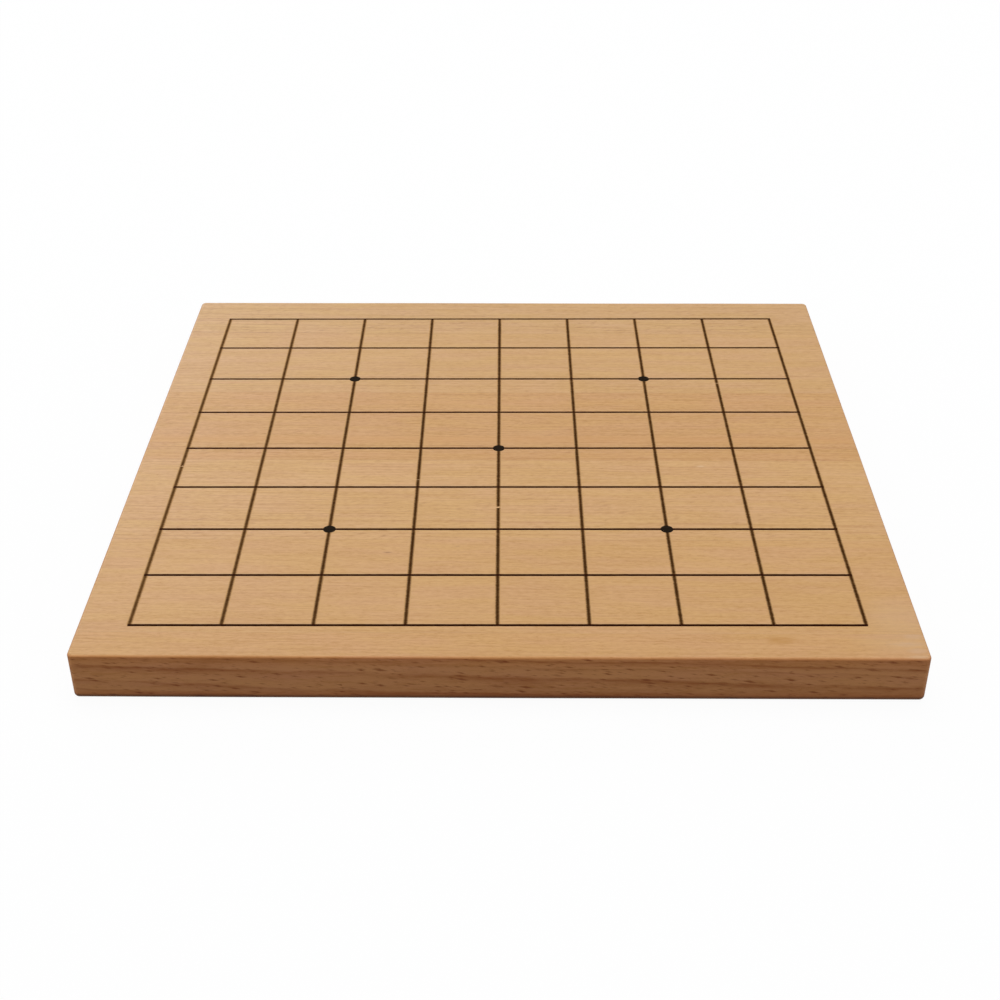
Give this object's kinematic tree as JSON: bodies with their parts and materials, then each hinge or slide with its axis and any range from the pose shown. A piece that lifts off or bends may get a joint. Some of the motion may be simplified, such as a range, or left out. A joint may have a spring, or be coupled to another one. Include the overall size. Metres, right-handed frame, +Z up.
{
  "type": "go board",
  "caption": "Flat solid-wood go board with a small printed line grid and star points, edge-glued from beech staves with rounded edges, to lie on a table.",
  "frame": {"origin": "middle of the underside, on the table", "axes": "+X along the grain and the longer side, to the near player's right; +Y away from the near player; +Z up"},
  "size_m": [0.217, 0.2024, 0.0138],
  "materials": {
    "beech": "clear satin lacquer",
    "glue": "set wood glue, sanded flush",
    "ink": "black screen ink"
  },
  "bodies": {
    "root": {"stave_1": "beech", "stave_2": "beech", "stave_3": "beech", "stave_4": "beech", "stave_5": "beech", "stave_6": "beech", "glue_line_1": "glue", "glue_line_2": "glue", "glue_line_3": "glue", "glue_line_4": "glue", "glue_line_5": "glue", "row_line_1": "ink", "row_line_2": "ink", "row_line_3": "ink", "row_line_4": "ink", "row_line_5": "ink", "row_line_6": "ink", "row_line_7": "ink", "row_line_8": "ink", "row_line_9": "ink", "column_line_1": "ink", "column_line_2": "ink", "column_line_3": "ink", "column_line_4": "ink", "column_line_5": "ink", "column_line_6": "ink", "column_line_7": "ink", "column_line_8": "ink", "column_line_9": "ink", "star_point_1": "ink", "star_point_2": "ink", "star_point_3": "ink", "star_point_4": "ink", "star_point_5": "ink"}
  },
  "joints": []
}
